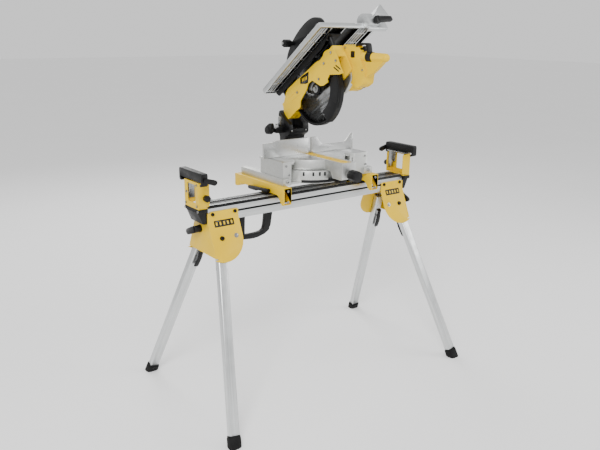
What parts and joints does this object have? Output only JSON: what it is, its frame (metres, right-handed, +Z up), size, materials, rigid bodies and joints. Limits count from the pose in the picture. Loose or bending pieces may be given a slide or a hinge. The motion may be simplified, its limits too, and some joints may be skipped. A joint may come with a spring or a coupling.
{
  "type": "mitre saw on stand",
  "caption": "Table-top mitre saw with a riving knife and rip fence, clamped by brackets on a folding aluminium stand with extending work supports.",
  "frame": {"origin": "on the floor under the middle of the beam", "axes": "+X along the beam, to the right for an operator who stands at -Y; +Z up"},
  "size_m": [1.222, 0.7326, 1.5313],
  "materials": {
    "aluminium": "mill-finish extruded aluminium",
    "rubber": "black rubber",
    "black": "black moulded nylon",
    "yellow_casting": "yellow painted casting",
    "casting": "cast and machined aluminium",
    "steel": "bright steel",
    "yellow_plastic": "yellow glass-filled nylon",
    "black_paint": "black painted casting",
    "yellow": "powder coat yellow"
  },
  "bodies": {
    "stand": {"beam": "aluminium", "leg_housing_left": "yellow", "leg_housing_right": "yellow", "carry_handle": "black"},
    "leg_front_left": {"leg_front_left": "aluminium", "foot_front_left": "rubber"},
    "leg_lever_front_left": {"leg_lever_front_left": "black"},
    "leg_front_right": {"leg_front_right": "aluminium", "foot_front_right": "rubber"},
    "leg_lever_front_right": {"leg_lever_front_right": "black"},
    "leg_back_left": {"leg_back_left": "aluminium", "foot_back_left": "rubber"},
    "leg_lever_back_left": {"leg_lever_back_left": "black"},
    "leg_back_right": {"leg_back_right": "aluminium", "foot_back_right": "rubber"},
    "leg_lever_back_right": {"leg_lever_back_right": "black"},
    "arm_left": {"arm_tube_left": "steel", "arm_end_left": "black", "support_bracket_left": "yellow"},
    "arm_lock_left": {"arm_lock_lever_left": "black"},
    "work_rest_left": {"rest_plate_left": "steel", "work_rest_left": "black"},
    "support_knob_left": {"support_knob_left": "black"},
    "length_stop_left": {"length_stop_left": "black"},
    "arm_right": {"arm_tube_right": "steel", "arm_end_right": "black", "support_bracket_right": "yellow"},
    "arm_lock_right": {"arm_lock_lever_right": "black"},
    "work_rest_right": {"rest_plate_right": "steel", "work_rest_right": "black"},
    "support_knob_right": {"support_knob_right": "black"},
    "length_stop_right": {"length_stop_right": "black"},
    "saw_base": {"saw_bracket_left": "yellow", "saw_bracket_right": "yellow", "saw_base": "casting", "fence": "casting"},
    "bracket_lever_left": {"bracket_lever_left": "black"},
    "bracket_lever_right": {"bracket_lever_right": "black"},
    "turntable": {"turntable": "casting", "kerf_plate": "yellow_plastic"},
    "mitre_knob": {"mitre_knob": "black"},
    "mitre_latch": {"mitre_latch": "black"},
    "bevel_arm": {"bevel_arm": "black_paint"},
    "bevel_clamp": {"bevel_clamp": "black"},
    "head": {"upper_guard": "yellow_casting", "gear_case": "casting", "motor_housing": "yellow_plastic", "motor_end_cap": "black", "main_handle": "yellow_plastic", "riving_knife": "steel"},
    "blade": {"blade": "steel", "spindle": "steel"},
    "front_guard": {"front_guard": "black"},
    "lower_guard": {"lower_guard": "black"},
    "trigger": {"trigger": "black"},
    "saw_table": {"saw_table": "aluminium", "table_cover": "black"},
    "table_guard": {"table_guard": "black"},
    "rip_fence": {"rip_fence": "aluminium"},
    "rip_clamp": {"rip_clamp_lever": "black"}
  },
  "joints": [
    {"name": "fold_front_left", "type": "hinge", "parent": "stand", "child": "leg_front_left", "pos_m": [-0.46, -0.05945, 0.68093], "axis": [0, -0.9219, 0.3875], "range_deg": [0, 99.7]},
    {"name": "press_leg_lever_front_left", "type": "hinge", "parent": "leg_front_left", "child": "leg_lever_front_left", "pos_m": [-0.47078, -0.06269, 0.61386], "axis": [-0.9857, 0.0653, 0.1553], "range_deg": [0, 4.5], "stiffness_Nm_per_rad": 2, "springref_deg": -5.73},
    {"name": "fold_front_right", "type": "hinge", "parent": "stand", "child": "leg_front_right", "pos_m": [0.46, -0.05945, 0.68093], "axis": [0, 0.9219, -0.3875], "range_deg": [0, 83]},
    {"name": "press_leg_lever_front_right", "type": "hinge", "parent": "leg_front_right", "child": "leg_lever_front_right", "pos_m": [0.47078, -0.06269, 0.61386], "axis": [-0.9857, -0.0653, -0.1553], "range_deg": [0, 4.5], "stiffness_Nm_per_rad": 2, "springref_deg": -5.73},
    {"name": "fold_back_left", "type": "hinge", "parent": "stand", "child": "leg_back_left", "pos_m": [-0.46, 0.05945, 0.68093], "axis": [0, -0.9219, -0.3875], "range_deg": [0, 99.7]},
    {"name": "press_leg_lever_back_left", "type": "hinge", "parent": "leg_back_left", "child": "leg_lever_back_left", "pos_m": [-0.47078, 0.06269, 0.61386], "axis": [0.9857, 0.0653, -0.1553], "range_deg": [0, 4.5], "stiffness_Nm_per_rad": 2, "springref_deg": -5.73},
    {"name": "fold_back_right", "type": "hinge", "parent": "stand", "child": "leg_back_right", "pos_m": [0.46, 0.05945, 0.68093], "axis": [0, 0.9219, 0.3875], "range_deg": [0, 83]},
    {"name": "press_leg_lever_back_right", "type": "hinge", "parent": "leg_back_right", "child": "leg_lever_back_right", "pos_m": [0.47078, 0.06269, 0.61386], "axis": [0.9857, -0.0653, 0.1553], "range_deg": [0, 4.5], "stiffness_Nm_per_rad": 2, "springref_deg": -5.73},
    {"name": "extend_arm_left", "type": "slide", "parent": "stand", "child": "arm_left", "axis": [-1, 0, 0], "range_m": [0, 0.3]},
    {"name": "turn_arm_lock_left", "type": "hinge", "parent": "stand", "child": "arm_lock_left", "pos_m": [-0.5033, 0.01, 0.714], "axis": [-1, 0, 0], "range_deg": [0, 75]},
    {"name": "raise_work_rest_left", "type": "slide", "parent": "arm_left", "child": "work_rest_left", "axis": [0, 0, 1], "range_m": [0, 0.06]},
    {"name": "turn_support_knob_left", "type": "hinge", "parent": "arm_left", "child": "support_knob_left", "pos_m": [-0.515, -0.0523, 0.846], "axis": [0, -1, 0], "range_deg": [0, 180]},
    {"name": "flip_length_stop_left", "type": "hinge", "parent": "work_rest_left", "child": "length_stop_left", "pos_m": [-0.531, -0.0863, 0.918], "axis": [0, -1, 0], "range_deg": [0, 90]},
    {"name": "extend_arm_right", "type": "slide", "parent": "stand", "child": "arm_right", "axis": [1, 0, 0], "range_m": [0, 0.3]},
    {"name": "turn_arm_lock_right", "type": "hinge", "parent": "stand", "child": "arm_lock_right", "pos_m": [0.5033, -0.01, 0.714], "axis": [1, 0, 0], "range_deg": [0, 75]},
    {"name": "raise_work_rest_right", "type": "slide", "parent": "arm_right", "child": "work_rest_right", "axis": [0, 0, 1], "range_m": [0, 0.06]},
    {"name": "turn_support_knob_right", "type": "hinge", "parent": "arm_right", "child": "support_knob_right", "pos_m": [0.515, 0.0523, 0.846], "axis": [0, 1, 0], "range_deg": [0, 180]},
    {"name": "flip_length_stop_right", "type": "hinge", "parent": "work_rest_right", "child": "length_stop_right", "pos_m": [0.531, 0.0863, 0.918], "axis": [0, 1, 0], "range_deg": [0, 90]},
    {"name": "slide_saw", "type": "slide", "parent": "stand", "child": "saw_base", "axis": [1, 0, 0], "range_m": [-0.1, 0.1]},
    {"name": "lift_bracket_lever_left", "type": "hinge", "parent": "saw_base", "child": "bracket_lever_left", "pos_m": [-0.1963, 0, 0.821], "axis": [1, 0, 0], "range_deg": [0, 50]},
    {"name": "lift_bracket_lever_right", "type": "hinge", "parent": "saw_base", "child": "bracket_lever_right", "pos_m": [0.2993, 0, 0.821], "axis": [1, 0, 0], "range_deg": [0, 50]},
    {"name": "turn_mitre", "type": "hinge", "parent": "saw_base", "child": "turntable", "pos_m": [0.04, 0.05, 0.8463], "axis": [0, 0, 1], "range_deg": [-45, 45]},
    {"name": "turn_mitre_knob", "type": "hinge", "parent": "turntable", "child": "mitre_knob", "pos_m": [0.04, -0.2053, 0.8923], "axis": [0, -1, 0], "range_deg": [0, 180]},
    {"name": "press_mitre_latch", "type": "hinge", "parent": "turntable", "child": "mitre_latch", "pos_m": [0.022, -0.125, 0.8663], "axis": [1, 0, 0], "range_deg": [0, 12], "stiffness_Nm_per_rad": 1, "springref_deg": -17.19},
    {"name": "tilt_head", "type": "hinge", "parent": "turntable", "child": "bevel_arm", "pos_m": [0.04, 0.05, 0.9383], "axis": [0, 1, 0], "range_deg": [-45, 0]},
    {"name": "turn_bevel_clamp", "type": "hinge", "parent": "bevel_arm", "child": "bevel_clamp", "pos_m": [-0.0525, 0.179, 1.0283], "axis": [1, 0, 0], "range_deg": [0, 60]},
    {"name": "lower_head", "type": "hinge", "parent": "bevel_arm", "child": "head", "pos_m": [0.04, 0.222, 1.082], "axis": [1, 0, 0], "range_deg": [0, 36.2], "stiffness_Nm_per_rad": 40, "springref_deg": -68.75},
    {"name": "spin_blade", "type": "hinge", "parent": "head", "child": "blade", "pos_m": [0.04, 0.004, 1.2065], "axis": [1, 0, 0], "continuous": true},
    {"name": "swing_front_guard", "type": "hinge", "parent": "head", "child": "front_guard", "pos_m": [0.04, 0.004, 1.2065], "axis": [1, 0, 0], "range_deg": [-51, 0]},
    {"name": "swing_lower_guard", "type": "hinge", "parent": "head", "child": "lower_guard", "pos_m": [0.04, 0.004, 1.2065], "axis": [1, 0, 0], "range_deg": [-131, 0]},
    {"name": "pull_trigger", "type": "hinge", "parent": "head", "child": "trigger", "pos_m": [0.085, -0.21577, 1.37354], "axis": [1, 0, 0], "range_deg": [0, 10], "stiffness_Nm_per_rad": 0.3, "springref_deg": -11.46},
    {"name": "lower_table", "type": "slide", "parent": "head", "child": "saw_table", "axis": [0, 0.5906, 0.807], "range_m": [-0.024, 0]},
    {"name": "lift_table_guard", "type": "hinge", "parent": "head", "child": "table_guard", "pos_m": [0.04, 0.17215, 1.33127], "axis": [-1, 0, 0], "range_deg": [0, 25]},
    {"name": "slide_rip_fence", "type": "slide", "parent": "saw_table", "child": "rip_fence", "axis": [-1, 0, 0], "range_m": [0, 0.12]},
    {"name": "turn_rip_clamp", "type": "hinge", "parent": "rip_fence", "child": "rip_clamp", "pos_m": [0.208, -0.15194, 1.47429], "axis": [0, -0.5906, -0.807], "range_deg": [0, 35]}
  ],
  "couplings": [
    {"joint": "swing_front_guard", "follows": "lower_head", "ratio": -1.4},
    {"joint": "swing_lower_guard", "follows": "lower_head", "ratio": -3.6}
  ]
}
